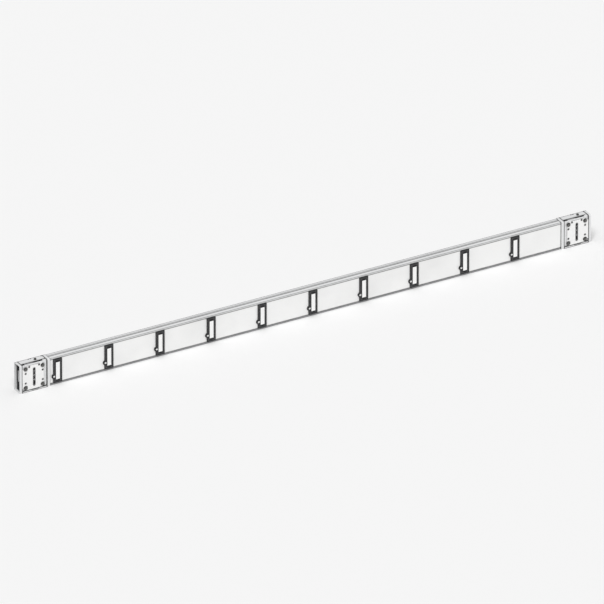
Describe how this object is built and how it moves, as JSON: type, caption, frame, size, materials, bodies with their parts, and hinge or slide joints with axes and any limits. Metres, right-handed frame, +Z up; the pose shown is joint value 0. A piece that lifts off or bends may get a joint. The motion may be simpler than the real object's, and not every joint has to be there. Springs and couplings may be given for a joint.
{
  "type": "busway section",
  "caption": "Plug-in busway section: slim sheet-steel casing with flat bars, a row of tap-off outlets with hinged doors on the front, and a bolted joint housing at each end.",
  "frame": {"origin": "on the floor under the middle of the whole section, bolts and nuts included", "axes": "X along the section towards the right-hand joint housing, outlets face -Y, Z up"},
  "size_m": [3.6, 0.0738, 0.1747],
  "materials": {
    "casing_channel": "satin white-grey powder coat on galvanised sheet",
    "casing_panel": "satin white powder coat on galvanised sheet",
    "bar_metal": "tinned aluminium bar, drawn",
    "insulator": "glass-filled moulding, matt",
    "outlet_black": "fine-textured black moulding",
    "door_white": "semi-gloss white moulding",
    "lock_plastic": "semi-gloss white and black moulding",
    "housing_paint": "satin white powder coat on steel",
    "plate_paint": "satin white powder coat on steel plate",
    "bolt_zinc": "zinc plated"
  },
  "bodies": {
    "section": {"top_channel": "casing_channel", "bottom_channel": "casing_channel", "front_panel": "casing_panel", "back_panel": "casing_panel", "busbar_1": "bar_metal", "busbar_2": "bar_metal", "busbar_3": "bar_metal", "busbar_4": "bar_metal", "bar_supports": "insulator", "outlet_frame_01": "outlet_black", "outlet_frame_02": "outlet_black", "outlet_frame_03": "outlet_black", "outlet_frame_04": "outlet_black", "outlet_frame_05": "outlet_black", "outlet_frame_06": "outlet_black", "outlet_frame_07": "outlet_black", "outlet_frame_08": "outlet_black", "outlet_frame_09": "outlet_black", "outlet_frame_10": "outlet_black", "left_housing": "housing_paint", "left_front_plate": "plate_paint", "left_back_plate": "plate_paint", "left_bolts": "bolt_zinc", "left_blocks": "insulator", "left_splices": "bar_metal", "left_comb": "insulator", "right_housing": "housing_paint", "right_front_plate": "plate_paint", "right_back_plate": "plate_paint", "right_bolts": "bolt_zinc", "right_blocks": "insulator", "right_splices": "bar_metal", "right_comb": "insulator"},
    "door_01": {"outlet_door_01": "door_white"},
    "lock_01": {"outlet_lock_01": "lock_plastic"},
    "door_02": {"outlet_door_02": "door_white"},
    "lock_02": {"outlet_lock_02": "lock_plastic"},
    "door_03": {"outlet_door_03": "door_white"},
    "lock_03": {"outlet_lock_03": "lock_plastic"},
    "door_04": {"outlet_door_04": "door_white"},
    "lock_04": {"outlet_lock_04": "lock_plastic"},
    "door_05": {"outlet_door_05": "door_white"},
    "lock_05": {"outlet_lock_05": "lock_plastic"},
    "door_06": {"outlet_door_06": "door_white"},
    "lock_06": {"outlet_lock_06": "lock_plastic"},
    "door_07": {"outlet_door_07": "door_white"},
    "lock_07": {"outlet_lock_07": "lock_plastic"},
    "door_08": {"outlet_door_08": "door_white"},
    "lock_08": {"outlet_lock_08": "lock_plastic"},
    "door_09": {"outlet_door_09": "door_white"},
    "lock_09": {"outlet_lock_09": "lock_plastic"},
    "door_10": {"outlet_door_10": "door_white"},
    "lock_10": {"outlet_lock_10": "lock_plastic"}
  },
  "joints": [
    {"name": "door_hinge_01", "type": "hinge", "parent": "section", "child": "door_01", "pos_m": [-1.5492, -0.03435, 0.084], "axis": [0, 0, 1], "range_deg": [0, 110]},
    {"name": "door_hinge_02", "type": "hinge", "parent": "section", "child": "door_02", "pos_m": [-1.2292, -0.03435, 0.084], "axis": [0, 0, 1], "range_deg": [0, 110]},
    {"name": "door_hinge_03", "type": "hinge", "parent": "section", "child": "door_03", "pos_m": [-0.9092, -0.03435, 0.084], "axis": [0, 0, 1], "range_deg": [0, 110]},
    {"name": "door_hinge_04", "type": "hinge", "parent": "section", "child": "door_04", "pos_m": [-0.5892, -0.03435, 0.084], "axis": [0, 0, 1], "range_deg": [0, 110]},
    {"name": "door_hinge_05", "type": "hinge", "parent": "section", "child": "door_05", "pos_m": [-0.2692, -0.03435, 0.084], "axis": [0, 0, 1], "range_deg": [0, 110]},
    {"name": "door_hinge_06", "type": "hinge", "parent": "section", "child": "door_06", "pos_m": [0.0508, -0.03435, 0.084], "axis": [0, 0, 1], "range_deg": [0, 110]},
    {"name": "door_hinge_07", "type": "hinge", "parent": "section", "child": "door_07", "pos_m": [0.3708, -0.03435, 0.084], "axis": [0, 0, 1], "range_deg": [0, 110]},
    {"name": "door_hinge_08", "type": "hinge", "parent": "section", "child": "door_08", "pos_m": [0.6908, -0.03435, 0.084], "axis": [0, 0, 1], "range_deg": [0, 110]},
    {"name": "door_hinge_09", "type": "hinge", "parent": "section", "child": "door_09", "pos_m": [1.0108, -0.03435, 0.084], "axis": [0, 0, 1], "range_deg": [0, 110]},
    {"name": "door_hinge_10", "type": "hinge", "parent": "section", "child": "door_10", "pos_m": [1.3308, -0.03435, 0.084], "axis": [0, 0, 1], "range_deg": [0, 110]},
    {"name": "lock_turn_01", "type": "hinge", "parent": "section", "child": "lock_01", "pos_m": [-1.587, -0.03205, 0.052], "axis": [0, -1, 0], "range_deg": [0, 90]},
    {"name": "lock_turn_02", "type": "hinge", "parent": "section", "child": "lock_02", "pos_m": [-1.267, -0.03205, 0.052], "axis": [0, -1, 0], "range_deg": [0, 90]},
    {"name": "lock_turn_03", "type": "hinge", "parent": "section", "child": "lock_03", "pos_m": [-0.947, -0.03205, 0.052], "axis": [0, -1, 0], "range_deg": [0, 90]},
    {"name": "lock_turn_04", "type": "hinge", "parent": "section", "child": "lock_04", "pos_m": [-0.627, -0.03205, 0.052], "axis": [0, -1, 0], "range_deg": [0, 90]},
    {"name": "lock_turn_05", "type": "hinge", "parent": "section", "child": "lock_05", "pos_m": [-0.307, -0.03205, 0.052], "axis": [0, -1, 0], "range_deg": [0, 90]},
    {"name": "lock_turn_06", "type": "hinge", "parent": "section", "child": "lock_06", "pos_m": [0.013, -0.03205, 0.052], "axis": [0, -1, 0], "range_deg": [0, 90]},
    {"name": "lock_turn_07", "type": "hinge", "parent": "section", "child": "lock_07", "pos_m": [0.333, -0.03205, 0.052], "axis": [0, -1, 0], "range_deg": [0, 90]},
    {"name": "lock_turn_08", "type": "hinge", "parent": "section", "child": "lock_08", "pos_m": [0.653, -0.03205, 0.052], "axis": [0, -1, 0], "range_deg": [0, 90]},
    {"name": "lock_turn_09", "type": "hinge", "parent": "section", "child": "lock_09", "pos_m": [0.973, -0.03205, 0.052], "axis": [0, -1, 0], "range_deg": [0, 90]},
    {"name": "lock_turn_10", "type": "hinge", "parent": "section", "child": "lock_10", "pos_m": [1.293, -0.03205, 0.052], "axis": [0, -1, 0], "range_deg": [0, 90]}
  ]
}
